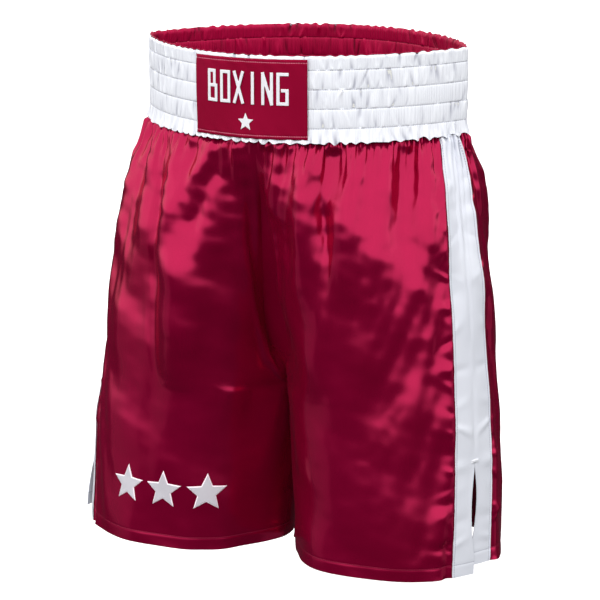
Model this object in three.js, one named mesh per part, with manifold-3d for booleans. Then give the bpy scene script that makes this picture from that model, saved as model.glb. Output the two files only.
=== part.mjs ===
// Boxing trunks: a gathered elastic waistband over two wide satin legs, with contrast side stripes that end in
// hem slits. Millimetres, +Z up. The origin is the centre of the waist opening, the front faces -Y and the
// wearer's left is +X. Cloth is drawn as thin closed slabs, each sewn piece its own body.
import * as THREE from "three";
import { mergeVertices } from "three/addons/utils/BufferGeometryUtils.js";
import Module from "manifold-3d";

const manifold = await Module();
manifold.setup();

// Lengths down the garment, measured from the top edge of the waistband.
const OUTSEAM = 610;
const BACK_HEM_RISE = 10; // the back panels are cut this much shorter
const BAND_HEIGHT = 100;
const STITCH_ROWS = [16, 38.5, 61, 83.5]; // four rows make a heading, three channels and a ruffle
const PANEL_TUCK = 14; // length of panel hidden behind the ruffle
const SLIT_TOP = 480;

// The waist ring, a lens that comes to a soft point over each hip.
const WAIST_HALF_WIDTH = 218;
const WAIST_HALF_DEPTH = 125;
const WAIST_POINT = 1.6; // 1 is an ellipse, more is a sharper point
const WAIST_TILT = 0.0725; // the back rim stands higher than the front

// The hem, where the two legs have parted.
const HEM_HALF_WIDTH = 268;
const HEM_HALF_DEPTH = 128;
const HEM_FORWARD = 18; // the legs hang this far in front of the waist
const HIP_SWELL = 13; // extra half width half way down
const BACK_HOLLOW = 20; // the back falls in by this much half way down
const LEG_SPLIT = 1.117; // hem leg spacing over leg radius: at 1 the legs touch
const SPLIT_RATE = 2.4; // how quickly the split opens below the waistband
const POINT_FADES_BY = 0.3; // share of the skirt in which the hip point rounds off

// The side stripes, each centred on a seam in front of the hip. The garment sits turned a little on its form, so
// the two seams lie at different angles from the hip.
const SEAMS = { left: { top: 0.33, hem: 0.39 }, right: { top: 0.04, hem: 0.36 } };
const STRIPE_WIDTH = 58;
const STRIPE_GATHERED = 26; // stripe width where the waistband gathers it
const STRIPE_FULL_BY = 0.9; // share of the skirt in which it reaches its full width
const SLIT_GAPE = 7;

// Layers, from the outside in.
const CLOTH = 1.2;
const SHELL_CLOTH = 1;
const STITCH_PINCH = 1.5; // each stitch row draws the shell in by this much
const ELASTIC_WIDTH = 19;
const ELASTIC_OUTER = 3;
const ELASTIC_INNER = 4.2;
const LINING_OUTER = 4.9;
const LINING_INNER = 5.9;
const SKIRT_INSET = 3; // the skirt starts this far inside the shell
const TUCK_INSET = 2; // and draws in further up behind the ruffle
const SEAM_GAP = 0.6;
const LAYER_GAP = 0.8;

// The sewn-on patch and the embroidery.
const PATCH_WIDTH = 150;
const PATCH_TOP = 3;
const PATCH_BOTTOM = 96;
const PATCH_OFFSET = -8; // towards the wearer's right
const PATCH_CLOTH = 1;
const EMBROIDERY = 0.9;
const WORD = "BOXING";
const WORD_WIDTH = 112;
const WORD_DEPTH = 37; // down to the middle of the letters
const LETTER_WIDTH = 11;
const LETTER_HEIGHT = 34;
const LETTER_STROKE = 4;
const PATCH_STAR = { radius: 11, depth: 77 };
const LEG_STARS = { radius: 25, pitch: 54, depth: 537, middle: 1.72 };
const BARTACK = { length: 12, height: 4, depth: 475 };

const RING_STEPS = 48;
const PANEL_STEPS = 14;
const CRIMSON = new THREE.MeshStandardMaterial({ color: "#860a30", roughness: 0.35, metalness: 0 });
const WHITE = new THREE.MeshStandardMaterial({ color: "#eceef2", roughness: 0.45, metalness: 0 });
const PATCH_RED = new THREE.MeshStandardMaterial({ color: "#8f1d38", roughness: 0.6, metalness: 0 });
const ELASTIC = new THREE.MeshStandardMaterial({ color: "#e2e2df", roughness: 0.8, metalness: 0 });
const THREAD = new THREE.MeshStandardMaterial({ color: "#dcdce4", roughness: 0.6, metalness: 0 });

const signedPower = (value, power) => Math.sign(value) * Math.abs(value) ** power;
const steps = (from, to, count) => Array.from({ length: count + 1 }, (_, i) => from + ((to - from) * i) / count);
const clamp01 = (value) => THREE.MathUtils.clamp(value, 0, 1);

// A point of the waistband: turn runs from the wearer's left through the front, in radians.
function bandPoint(turn, depth, inset) {
  const x = (WAIST_HALF_WIDTH - inset) * Math.cos(turn);
  const y = -(WAIST_HALF_DEPTH - inset) * signedPower(Math.sin(turn), WAIST_POINT);
  return new THREE.Vector3(x, y, -depth + WAIST_TILT * y);
}

// The horizontal section of the skirt at a share s of the way from the ruffle to the hem: two leg ellipses that
// overlap at the centre until the crotch.
function section(s) {
  const swell = 4 * HIP_SWELL * s * (1 - s);
  const halfWidth = THREE.MathUtils.lerp(WAIST_HALF_WIDTH - SKIRT_INSET, HEM_HALF_WIDTH, s) + swell;
  const halfDepth = THREE.MathUtils.lerp(WAIST_HALF_DEPTH - SKIRT_INSET, HEM_HALF_DEPTH, s);
  const split = LEG_SPLIT * (1 - (1 - s) ** SPLIT_RATE);
  const point = 1 + (WAIST_POINT - 1) * clamp01(1 - s / POINT_FADES_BY) ** 2;
  const centre = (halfWidth * split) / (1 + split);
  const hollow = 4 * BACK_HOLLOW * s * (1 - s);
  return { centre, radius: halfWidth - centre, halfDepth, hollow, point };
}

const shareDown = (depth) => Math.max(0, (depth - BAND_HEIGHT) / (OUTSEAM - BAND_HEIGHT));
const crotchShare = 1 - (1 - 1 / LEG_SPLIT) ** (1 / SPLIT_RATE);
const CROTCH = THREE.MathUtils.lerp(BAND_HEIGHT, OUTSEAM, crotchShare);
const tuckInset = (depth) => TUCK_INSET * clamp01((BAND_HEIGHT - depth) / PANEL_TUCK);

// A point of the wearer's left half of the skirt: angle runs about the leg from the hip through the front.
function skirtPoint(angle, depth, inset) {
  const s = shareDown(depth);
  const { centre, radius, halfDepth, hollow, point } = section(s);
  const draw = inset + tuckInset(depth);
  const reach = halfDepth - draw - (angle < 0 ? hollow : 0);
  const x = Math.max(centre + (radius - draw) * Math.cos(angle), SEAM_GAP / 2);
  const y = -reach * signedPower(Math.sin(angle), point) - HEM_FORWARD * s;
  return new THREE.Vector3(x, y, -depth + WAIST_TILT * y * (1 - s));
}

// The angle at which the section meets the centre seam or, below the crotch, the inseam.
function centreAngle(depth, inset) {
  const { centre, radius } = section(shareDown(depth));
  const reach = (SEAM_GAP / 2 - centre) / (radius - inset - tuckInset(depth));
  return Math.acos(Math.max(reach, -1)) - SEAM_GAP / 2 / radius;
}

// The angle spanned by a width of cloth near the side seam.
const sideAngle = (width, depth) => width / section(shareDown(depth)).halfDepth;

function stripeHalfWidth(depth) {
  const full = clamp01(shareDown(depth) / STRIPE_FULL_BY);
  return THREE.MathUtils.lerp(STRIPE_GATHERED, STRIPE_WIDTH, full * (2 - full)) / 2;
}

function slitHalfWidth(depth) {
  const down = clamp01((depth - SLIT_TOP) / (OUTSEAM - SLIT_TOP));
  return SEAM_GAP / 2 + (SLIT_GAPE / 2) * Math.sin(Math.PI * down);
}

// A closed slab between two surfaces of (u, v), sampled at the given values. A ring joins its ends in u. The outer
// surface faces out when u runs from the wearer's left through the front and v runs down.
function slab(outer, inner, us, vs, ring = false) {
  const points = [outer, inner].flatMap((surface) => vs.flatMap((v) => us.map((u) => surface(u, v))));
  const columns = us.length;
  const rows = vs.length;
  const at = (layer, i, j) => (layer * rows + j) * columns + (i % columns);
  const index = [];
  const quad = (a, b, c, d) => index.push(a, b, c, a, c, d);
  const spans = ring ? columns : columns - 1;
  for (let i = 0; i < spans; i++) {
    for (let j = 0; j < rows - 1; j++) {
      quad(at(0, i, j), at(0, i + 1, j), at(0, i + 1, j + 1), at(0, i, j + 1));
      quad(at(1, i, j), at(1, i, j + 1), at(1, i + 1, j + 1), at(1, i + 1, j));
    }
    quad(at(0, i, 0), at(1, i, 0), at(1, i + 1, 0), at(0, i + 1, 0));
    quad(at(0, i, rows - 1), at(0, i + 1, rows - 1), at(1, i + 1, rows - 1), at(1, i, rows - 1));
  }
  for (let j = 0; j < rows - 1 && !ring; j++) {
    quad(at(0, 0, j), at(0, 0, j + 1), at(1, 0, j + 1), at(1, 0, j));
    quad(at(0, spans, j), at(1, spans, j), at(1, spans, j + 1), at(0, spans, j + 1));
  }
  const geometry = new THREE.BufferGeometry().setFromPoints(points);
  return geometry.setIndex(index);
}

// The mirror image in the plane x = 0, still facing out.
function mirrored(geometry) {
  const copy = geometry.clone().scale(-1, 1, 1);
  copy.index.array.reverse();
  return copy;
}

const garment = new THREE.Group();
garment.name = "boxing_trunks";

function add(name, geometry, material) {
  geometry.computeVertexNormals();
  const mesh = new THREE.Mesh(geometry, material);
  mesh.name = name;
  garment.add(mesh);
}

// Adds a piece of each leg: build makes it for the wearer's left, given the angle of the side seam by depth.
function addPair(name, build, material) {
  const seam = (side) => (depth) => THREE.MathUtils.lerp(side.top, side.hem, shareDown(depth) ** 2);
  add(name.replace("SIDE", "left"), build(seam(SEAMS.left)), material);
  add(name.replace("SIDE", "right"), mirrored(build(seam(SEAMS.right))), material);
}

// ---- Legs ----

function depthsTo(hem) {
  const hips = steps(BAND_HEIGHT, CROTCH, 8);
  const thighs = steps(CROTCH, SLIT_TOP, 2).slice(1);
  const slit = steps(SLIT_TOP, hem, 4).slice(1);
  return [BAND_HEIGHT - PANEL_TUCK, ...hips, ...thighs, ...slit];
}

// A piece of skirt cloth between two edges, each an angle that depends on depth and inset.
function cloth(fromEdge, toEdge, columns, hem) {
  const surface = (inset) => (u, depth) => {
    const angle = THREE.MathUtils.lerp(fromEdge(depth, inset), toEdge(depth, inset), u);
    return skirtPoint(angle, depth, inset);
  };
  return slab(surface(0), surface(CLOTH), steps(0, 1, columns), depthsTo(hem));
}

const beside = (seam, width, sign) => (depth) => seam(depth) + sign * sideAngle(width(depth), depth);
const panelEdge = (depth) => stripeHalfWidth(depth) + SEAM_GAP / 2;
const stripeEdge = (depth) => stripeHalfWidth(depth) - SEAM_GAP / 2;
const backCentre = (depth, inset) => -centreAngle(depth, inset);
const backHem = OUTSEAM - BACK_HEM_RISE;

const frontPanel = (seam) => cloth(beside(seam, panelEdge, 1), centreAngle, PANEL_STEPS, OUTSEAM);
const backPanel = (seam) => cloth(backCentre, beside(seam, panelEdge, -1), PANEL_STEPS + 2, backHem);
const stripeFront = (seam) => cloth(beside(seam, slitHalfWidth, 1), beside(seam, stripeEdge, 1), 2, OUTSEAM);
const stripeBack = (seam) => cloth(beside(seam, stripeEdge, -1), beside(seam, slitHalfWidth, -1), 2, backHem);
addPair("front_SIDE_panel", frontPanel, CRIMSON);
addPair("back_SIDE_panel", backPanel, CRIMSON);
addPair("SIDE_stripe_front", stripeFront, WHITE);
addPair("SIDE_stripe_back", stripeBack, WHITE);

// ---- Waistband ----

const ringTurns = steps(0, 2 * Math.PI, RING_STEPS).slice(0, -1);
const onBand = (inset) => (turn, depth) => bandPoint(turn, depth, inset);

// The shell is pinched at each stitch row, puffs out between the rows, and flares at the ruffle.
const shellRows = [0, ...STITCH_ROWS, BAND_HEIGHT];
const shellDepths = shellRows.flatMap((row, i) => (i ? [(shellRows[i - 1] + row) / 2, row] : [row]));
const shellPinch = (depth) => (STITCH_ROWS.includes(depth) ? STITCH_PINCH : 0);
const shellSurface = (inset) => (turn, depth) => bandPoint(turn, depth, inset + shellPinch(depth));
add("waistband_shell", slab(shellSurface(0), shellSurface(SHELL_CLOTH), ringTurns, shellDepths, true), WHITE);

const liningDepths = [1, STITCH_ROWS[3]];
add("waistband_lining", slab(onBand(LINING_OUTER), onBand(LINING_INNER), ringTurns, liningDepths, true), CRIMSON);

["upper", "middle", "lower"].forEach((place, i) => {
  const middle = (STITCH_ROWS[i] + STITCH_ROWS[i + 1]) / 2;
  const edges = [middle - ELASTIC_WIDTH / 2, middle + ELASTIC_WIDTH / 2];
  add(`elastic_${place}`, slab(onBand(ELASTIC_OUTER), onBand(ELASTIC_INNER), ringTurns, edges, true), ELASTIC);
});

// ---- Patch and embroidery ----

const turnAt = (x) => Math.acos(x / WAIST_HALF_WIDTH);
const patchTurns = steps(turnAt(PATCH_OFFSET + PATCH_WIDTH / 2), turnAt(PATCH_OFFSET - PATCH_WIDTH / 2), 8);
const patchInner = -LAYER_GAP;
const patchOuter = patchInner - PATCH_CLOTH;
const patchFace = slab(onBand(patchOuter), onBand(patchInner), patchTurns, [PATCH_TOP, PATCH_BOTTOM]);
add("waist_patch", patchFace, PATCH_RED);

// A frame on the front of the patch with X towards the wearer's left, Y up and Z out of the cloth.
function patchFrame(x, depth) {
  const point = (offset, below) => bandPoint(turnAt(x + offset), depth + below, patchOuter - LAYER_GAP);
  const right = point(1, 0).sub(point(-1, 0)).normalize();
  const up = point(0, -1).sub(point(0, 1)).normalize();
  const out = new THREE.Vector3().crossVectors(right, up).normalize();
  return new THREE.Matrix4().makeBasis(right, up, out).setPosition(point(0, 0));
}

function toSolid(geometry) {
  const bare = geometry.deleteAttribute("normal").deleteAttribute("uv");
  const merged = mergeVertices(bare, 1e-4);
  const vertProperties = merged.attributes.position.array;
  const triVerts = new Uint32Array(merged.index.array);
  return new manifold.Manifold(new manifold.Mesh({ numProp: 3, vertProperties, triVerts }));
}

function toGeometry(solid) {
  const { vertProperties, triVerts } = solid.getMesh();
  const position = new THREE.BufferAttribute(Float32Array.from(vertProperties), 3);
  return new THREE.BufferGeometry().setAttribute("position", position).setIndex(Array.from(triVerts));
}

// Block letters as strokes [x0, y0, x1, y1] in a unit square.
const STROKES = {
  B: [[0, 0, 0, 1], [0, 1, 0.75, 1], [0, 0.5, 1, 0.5], [0, 0, 1, 0], [0.75, 0.5, 0.75, 1], [1, 0, 1, 0.5]],
  O: [[0, 0, 0, 1], [1, 0, 1, 1], [0, 0, 1, 0], [0, 1, 1, 1]],
  X: [[0, 0, 1, 1], [0, 1, 1, 0]],
  I: [[0.5, 0, 0.5, 1]],
  N: [[0, 0, 0, 1], [1, 0, 1, 1], [0, 1, 1, 0]],
  G: [[0, 0, 0, 1], [0, 1, 1, 1], [0, 0, 1, 0], [1, 0, 1, 0.45], [0.5, 0.45, 1, 0.45]],
};

function strokeBar([x0, y0, x1, y1]) {
  const from = new THREE.Vector2((x0 - 0.5) * LETTER_WIDTH, (y0 - 0.5) * LETTER_HEIGHT);
  const to = new THREE.Vector2((x1 - 0.5) * LETTER_WIDTH, (y1 - 0.5) * LETTER_HEIGHT);
  const bar = new THREE.BoxGeometry(from.distanceTo(to) + LETTER_STROKE, LETTER_STROKE, EMBROIDERY);
  bar.rotateZ(to.clone().sub(from).angle());
  return toSolid(bar.translate((from.x + to.x) / 2, (from.y + to.y) / 2, EMBROIDERY / 2));
}

[...WORD].forEach((letter, i) => {
  const bars = STROKES[letter].map(strokeBar);
  const solid = bars.reduce((sum, bar) => sum.add(bar));
  const x = PATCH_OFFSET + WORD_WIDTH * ((i + 0.5) / WORD.length - 0.5);
  add(`patch_letter_${letter.toLowerCase()}`, toGeometry(solid).applyMatrix4(patchFrame(x, WORD_DEPTH)), WHITE);
});

// A five-point star whose plate follows a surface: place gives the point x across, y up and lift off the cloth.
function starPlate(radius, place) {
  const outline = Array.from({ length: 10 }, (_, i) => {
    const reach = i % 2 ? radius * 0.45 : radius;
    const angle = Math.PI / 2 - (i * Math.PI) / 5;
    return [reach * Math.cos(angle), reach * Math.sin(angle)];
  });
  const layer = (lift) => [[0, 0], ...outline].map(([x, y]) => place(x, y, lift));
  const points = [...layer(LAYER_GAP + EMBROIDERY), ...layer(LAYER_GAP)];
  const index = [];
  for (let i = 1; i <= 10; i++) {
    const next = (i % 10) + 1;
    const under = 11;
    index.push(0, next, i, under, under + i, under + next);
    index.push(i, next, under + next, i, under + next, under + i);
  }
  return new THREE.BufferGeometry().setFromPoints(points).setIndex(index);
}

const onPatch = (x, y, lift) =>
  bandPoint(turnAt(PATCH_OFFSET + x), PATCH_STAR.depth - y, patchOuter - lift);
add("patch_star", starPlate(PATCH_STAR.radius, onPatch), WHITE);

["outer", "middle", "inner"].forEach((place, i) => {
  const middle = LEG_STARS.middle + sideAngle((i - 1) * LEG_STARS.pitch, LEG_STARS.depth);
  const onLeg = (x, y, lift) => {
    const angle = middle - sideAngle(x, LEG_STARS.depth);
    return skirtPoint(angle, LEG_STARS.depth - y, -lift);
  };
  add(`leg_star_${place}`, mirrored(starPlate(LEG_STARS.radius, onLeg)), THREAD);
});

const bartackXs = steps(-BARTACK.length / 2, BARTACK.length / 2, 2);
const bartackDepths = [BARTACK.depth - BARTACK.height / 2, BARTACK.depth + BARTACK.height / 2];
function bartack(seam) {
  const surface = (lift) => (x, depth) => skirtPoint(seam(depth) + sideAngle(x, depth), depth, -lift);
  return slab(surface(LAYER_GAP + EMBROIDERY), surface(LAYER_GAP), bartackXs, bartackDepths);
}
addPair("SIDE_slit_bartack", bartack, THREAD);

export default garment;
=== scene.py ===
"""Boxing trunks: satin legs draped by a cloth simulation, and gathered into an elastic waistband."""
import math

import bpy
import numpy as np
from mathutils import Matrix, Vector


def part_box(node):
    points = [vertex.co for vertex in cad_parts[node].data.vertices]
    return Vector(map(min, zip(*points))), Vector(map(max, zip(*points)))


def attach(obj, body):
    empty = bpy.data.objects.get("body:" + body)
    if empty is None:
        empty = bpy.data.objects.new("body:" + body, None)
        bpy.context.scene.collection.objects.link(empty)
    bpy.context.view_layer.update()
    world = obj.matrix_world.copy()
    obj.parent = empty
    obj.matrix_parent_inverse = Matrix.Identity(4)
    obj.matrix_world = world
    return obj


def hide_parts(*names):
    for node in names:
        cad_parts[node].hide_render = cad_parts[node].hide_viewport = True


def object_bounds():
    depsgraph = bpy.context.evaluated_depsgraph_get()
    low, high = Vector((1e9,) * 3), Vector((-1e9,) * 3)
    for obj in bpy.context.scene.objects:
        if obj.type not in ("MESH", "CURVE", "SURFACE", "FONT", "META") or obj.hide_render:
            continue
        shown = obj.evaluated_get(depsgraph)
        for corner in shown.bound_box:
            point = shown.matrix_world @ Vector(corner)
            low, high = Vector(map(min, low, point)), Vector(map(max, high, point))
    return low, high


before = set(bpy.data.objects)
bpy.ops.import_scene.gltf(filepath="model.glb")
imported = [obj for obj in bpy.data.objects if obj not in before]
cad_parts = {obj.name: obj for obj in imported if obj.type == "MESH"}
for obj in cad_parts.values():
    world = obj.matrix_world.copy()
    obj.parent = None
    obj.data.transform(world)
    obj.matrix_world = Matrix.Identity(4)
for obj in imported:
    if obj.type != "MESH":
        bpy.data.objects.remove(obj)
cad_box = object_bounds()

# ---------------------------------------------------------------- dimensions, in metres
MM = 0.001
shell_high = np.array(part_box("waistband_shell")[1])

# Lengths down the garment, from the top edge of the waistband.
OUTSEAM = 610 * MM
BACK_HEM_RISE = 10 * MM
BAND_HEIGHT = 100 * MM
STITCH_ROWS = np.array([16, 38.5, 61, 83.5]) * MM
PANEL_TUCK = 14 * MM
SLIT_TOP = 480 * MM
HEM_TURN = 15 * MM

# The waist ring and the smooth body of the legs, as in the CAD model.
WAIST_HALF_WIDTH = shell_high[0]
WAIST_HALF_DEPTH = shell_high[1]
WAIST_POINT = 1.6
WAIST_TILT = 0.0725
HEM_HALF_WIDTH = 268 * MM
HEM_HALF_DEPTH = 128 * MM
HEM_FORWARD = 18 * MM
HIP_SWELL = 13 * MM
BACK_HOLLOW = 20 * MM
LEG_SPLIT = 1.117
SPLIT_RATE = 2.4
POINT_FADES_BY = 0.3
SKIRT_INSET = 3 * MM
TUCK_INSET = 2 * MM

# The angle of each side seam from the hip, at the waistband and at the hem.
SEAMS = {"left": (0.33, 0.39), "right": (0.04, 0.36)}
STRIPE_WIDTH = 58 * MM
STRIPE_GATHERED = 26 * MM
STRIPE_FULL_BY = 0.9
SLIT_GAPE = 7 * MM

PATCH_WIDTH = 150 * MM
PATCH_TOP = 3 * MM
PATCH_BOTTOM = 96 * MM
PATCH_OFFSET = -8 * MM

CLOTH = 0.7 * MM
STRIPE_LIFT = 0.9 * MM  # the stripes are sewn on top of the panels' edges
SIDES = {"left": 1, "right": -1}
PARTS = ("front", "back")


def signed_power(value, power):
    return np.sign(value) * np.abs(value) ** power


def clamp01(value):
    return np.clip(value, 0.0, 1.0)


def smooth(value):
    value = clamp01(value)
    return value * value * (3 - 2 * value)


def mix(a, b, share):
    return a + (b - a) * share


def bell(distance, width):
    return np.exp(-((distance / width) ** 2))


def unit(vector):
    return vector / np.maximum(np.linalg.norm(vector, axis=-1, keepdims=True), 1e-9)


def vectors(*parts):
    return np.stack(np.broadcast_arrays(*parts), axis=-1)


class Waves:
    """A smooth random wave round the body, the same on every run, of about unit height."""

    def __init__(self, count, seed, spread=0.35, terms=6):
        random = np.random.default_rng(seed)
        self.counts = np.round(count * (1 + spread * random.uniform(-1, 1, terms)))
        self.phases = random.uniform(0, 2 * np.pi, terms)

    def __call__(self, turn):
        total = sum(np.sin(count * turn + phase) for count, phase in zip(self.counts, self.phases))
        return total / math.sqrt(len(self.counts) / 2)


# ---------------------------------------------------------------- the smooth body of the garment


def band_point(turn, depth, inset):
    """A point of the waistband; turn runs from the wearer's left through the front."""
    x = (WAIST_HALF_WIDTH - inset) * np.cos(turn)
    y = -(WAIST_HALF_DEPTH - inset) * signed_power(np.sin(turn), WAIST_POINT)
    return vectors(x, y, -depth + WAIST_TILT * y)


def share_down(depth):
    return np.maximum(0.0, (depth - BAND_HEIGHT) / (OUTSEAM - BAND_HEIGHT))


def section(depth):
    """Centre, radius, half depth and hip point of a leg's horizontal section."""
    s = share_down(depth)
    half_width = mix(WAIST_HALF_WIDTH - SKIRT_INSET, HEM_HALF_WIDTH, s) + 4 * HIP_SWELL * s * (1 - s)
    half_depth = mix(WAIST_HALF_DEPTH - SKIRT_INSET, HEM_HALF_DEPTH, s)
    split = LEG_SPLIT * (1 - (1 - np.minimum(s, 1)) ** SPLIT_RATE)
    point = 1 + (WAIST_POINT - 1) * clamp01(1 - s / POINT_FADES_BY) ** 2
    centre = half_width * split / (1 + split)
    return centre, half_width - centre, half_depth, point


def skirt_point(angle, depth):
    """A point of the wearer's left half; angle runs about the leg from the hip through the front."""
    s = share_down(depth)
    centre, radius, half_depth, point = section(depth)
    draw = TUCK_INSET * clamp01((BAND_HEIGHT - depth) / PANEL_TUCK)
    hollow = np.where(angle < 0, 4 * BACK_HOLLOW * s * (1 - s), 0.0)
    x = np.maximum(centre + (radius - draw) * np.cos(angle), 0.0)
    y = -(half_depth - draw - hollow) * signed_power(np.sin(angle), point) - HEM_FORWARD * s
    return vectors(x, y, -depth + WAIST_TILT * y * (1 - s))


def centre_angle(depth):
    centre, radius, _, _ = section(depth)
    return np.arccos(np.maximum(-centre / radius, -1))


def side_angle(width, depth):
    return width / section(depth)[2]


def stripe_half_width(depth):
    full = clamp01(share_down(depth) / STRIPE_FULL_BY)
    return mix(STRIPE_GATHERED, STRIPE_WIDTH, full * (2 - full)) / 2


def slit_half_width(depth):
    down = clamp01((depth - SLIT_TOP) / (OUTSEAM - SLIT_TOP))
    return SLIT_GAPE / 2 * np.sin(np.pi * down)


# ---------------------------------------------------------------- the coarse grid that is draped

BACK_COLUMNS = 44
STRIPE_COLUMNS = 6
FRONT_COLUMNS = 40
TUCK_ROWS, HIP_ROWS, THIGH_ROWS, SLIT_ROWS, HEM_ROWS = 2, 38, 9, 12, 4

crotch_share = 1 - (1 - 1 / LEG_SPLIT) ** (1 / SPLIT_RATE)
CROTCH = mix(BAND_HEIGHT, OUTSEAM, crotch_share)
HEM_STARTS = OUTSEAM - HEM_TURN - 5 * MM
row_depths = np.concatenate(
    [
        np.linspace(BAND_HEIGHT - PANEL_TUCK, BAND_HEIGHT, TUCK_ROWS + 1)[:-1],
        np.linspace(BAND_HEIGHT, CROTCH, HIP_ROWS + 1)[:-1],
        np.linspace(CROTCH, SLIT_TOP, THIGH_ROWS + 1)[:-1],
        np.linspace(SLIT_TOP, HEM_STARTS, SLIT_ROWS + 1)[:-1],
        np.linspace(HEM_STARTS, OUTSEAM, HEM_ROWS + 1),
    ]
)
CROTCH_ROW = TUCK_ROWS + HIP_ROWS
SLIT_ROW = CROTCH_ROW + THIGH_ROWS
ROWS = len(row_depths)


def column_shares(part):
    """Where each column lies: 0 at the side seam, 1 at the stripe's edge, 2 at the centre."""
    panel_columns = FRONT_COLUMNS if part == "front" else BACK_COLUMNS
    over_stripe = np.linspace(0, 1, STRIPE_COLUMNS + 1)[:-1]
    return np.concatenate([over_stripe, np.linspace(1, 2, panel_columns + 1)])


def part_depths(part, shares):
    """Depth of every grid point: the back hem rises towards the slit."""
    depth = np.repeat(row_depths[:, None], len(shares), axis=1)
    if part == "back":
        below_slit = clamp01((depth - SLIT_TOP) / (OUTSEAM - SLIT_TOP))
        depth = depth - BACK_HEM_RISE * below_slit * clamp01(2 - shares)[None, :]
    return depth


def part_angles(side, part, depth, shares):
    sign = 1 if part == "front" else -1
    middle = mix(*SEAMS[side], share_down(depth) ** 2)
    seam = middle + sign * side_angle(slit_half_width(depth), depth)
    edge = middle + sign * side_angle(stripe_half_width(depth), depth)
    centre = sign * centre_angle(depth)
    over_stripe = mix(seam, edge, clamp01(shares))
    return np.where(shares <= 1, over_stripe, mix(edge, centre, clamp01(shares - 1)))


SEAM_TURN = 0.45 * np.pi
STRIPE_SHARE = 0.08  # of the way from the side seam to the centre
SLIT_FLARE = 8 * MM  # how far the slit on the wearer's right stands out


def turn_of(side, part, shares):
    """Place round the waist, 0 at the centre front and half a turn at the centre back."""
    centre = 0 if part == "front" else np.pi
    way = np.where(shares <= 1, STRIPE_SHARE * shares, mix(STRIPE_SHARE, 1, shares - 1))
    return SIDES[side] * mix(SEAM_TURN, centre, way)


def faces_inward(side, part):
    """Whether a grid's columns run clockwise seen from above, so that its natural faces point inwards."""
    return (side == "left") == (part == "front")


def grid_faces(grid, flip=False):
    a, b = grid[:-1, :-1], grid[:-1, 1:]
    c, d = grid[1:, 1:], grid[1:, :-1]
    return np.stack([a, b, c, d] if flip else [d, c, b, a], axis=-1).reshape(-1, 4)


def grid_normals(points, flip=False):
    """Unit normals of a grid whose rows run down."""
    across = np.gradient(points, axis=1)
    down = np.gradient(points, axis=0)
    return unit(np.cross(across, down) if flip else np.cross(down, across))


# The folds that stand in the front of the skirt, in millimetres: the depths where each one starts and ends,
# how wide it is, how far it stands out (or in, if negative), and its places towards the wearer's left as
# (depth, place).
FRONT_FOLDS = [
    ((94, 470), 22, -34, [(100, 0), (600, 0)]),
    ((96, 300), 8, -9, [(100, 54), (142, 76), (180, 90), (226, 100), (290, 106)]),
    ((110, 330), 24, 9, [(100, 30), (180, 58), (260, 70)]),
    ((104, 480), 13, -8, [(118, -168), (184, -146), (302, -136), (520, -137)]),
    ((100, 250), 13, 7, [(110, -63), (152, -88), (210, -115)]),
    ((98, 240), 8, -6, [(110, -42), (162, -65), (218, -85)]),
    ((195, 430), 32, 16, [(200, -88), (400, -100)]),
    ((120, 380), 45, 9, [(100, 135), (400, 165)]),
    ((100, 220), 9, -5, [(100, 165), (186, 178), (300, 190)]),
]


def front_folds(x, depth):
    total = 0.0
    for ends, width, height, path in FRONT_FOLDS:
        depths, places = np.array(path).T * MM
        start, end = np.array(ends) * MM
        rise = smooth((depth - start) / (0.3 * (end - start)))
        rise = rise * (1 - smooth((depth - end) / (0.45 * (end - start)) + 1))
        offset = x - np.interp(depth, depths, places)
        total = total + height * MM * bell(offset, width * MM) * rise
    return total


folds = Waves(21, seed=11)
sway = Waves(12, seed=5)
TOP_PUFF, HEM_PUFF = 6 * MM, 2 * MM
GATHER_DEPTH = 5 * MM
SWAY_DEPTHS = (3.4, 2.2)  # in millimetres, at the waistband and at the hem
SEAT_FOLD = 10 * MM  # how far the centre seam of the back is drawn in


def start_push(side, part, base, depth, turn):
    """How far the garment stands out from its smooth body before it is draped."""
    s = share_down(depth)
    from_seam = np.abs(np.abs(turn) - SEAM_TURN)
    beside_stripe = mix(0.25, 1, smooth((from_seam - 0.1) / 0.25))
    puff = TOP_PUFF * smooth(s / 0.1) * (1 - smooth((s - 0.14) / 0.5)) + HEM_PUFF * smooth(s / 0.6)
    gather = GATHER_DEPTH * (1 - smooth(s / 0.4)) * folds(turn + 0.05 * s) * smooth(s / 0.04)
    swaying = mix(*SWAY_DEPTHS, s) * MM * smooth(s / 0.15) * sway(turn + 0.1 * s)
    push = puff + (gather + swaying) * beside_stripe
    if part == "front":
        push = push + front_folds(base[..., 0], depth)
    else:
        at_centre = bell(np.pi - np.abs(turn), 0.14)
        push = push - SEAT_FOLD * at_centre * smooth(s / 0.06) * (1 - smooth(s / 0.7))
    if side == "right":
        push = push + SLIT_FLARE * bell(from_seam, 0.12) * smooth((depth - 420 * MM) / (60 * MM))
    return push


def start_grid(side, part, inset=0.0):
    """The smooth body, and the garment before it is draped, inset by some distance."""
    shares = column_shares(part)
    depth = part_depths(part, shares)
    base = skirt_point(part_angles(side, part, depth, shares[None, :]), depth)
    base[..., 0] *= SIDES[side]
    turn = turn_of(side, part, shares)[None, :]
    push = start_push(side, part, base, depth, turn) - inset
    near_edge = smooth((2 - shares) / 0.12)[None, :]
    below_crotch = smooth((depth - CROTCH + 0.06) / 0.06)
    push = push * mix(1, near_edge, below_crotch)
    normal = grid_normals(base, faces_inward(side, part))
    normal[..., 2] = 0
    return base, base + push[..., None] * unit(normal)


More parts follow.
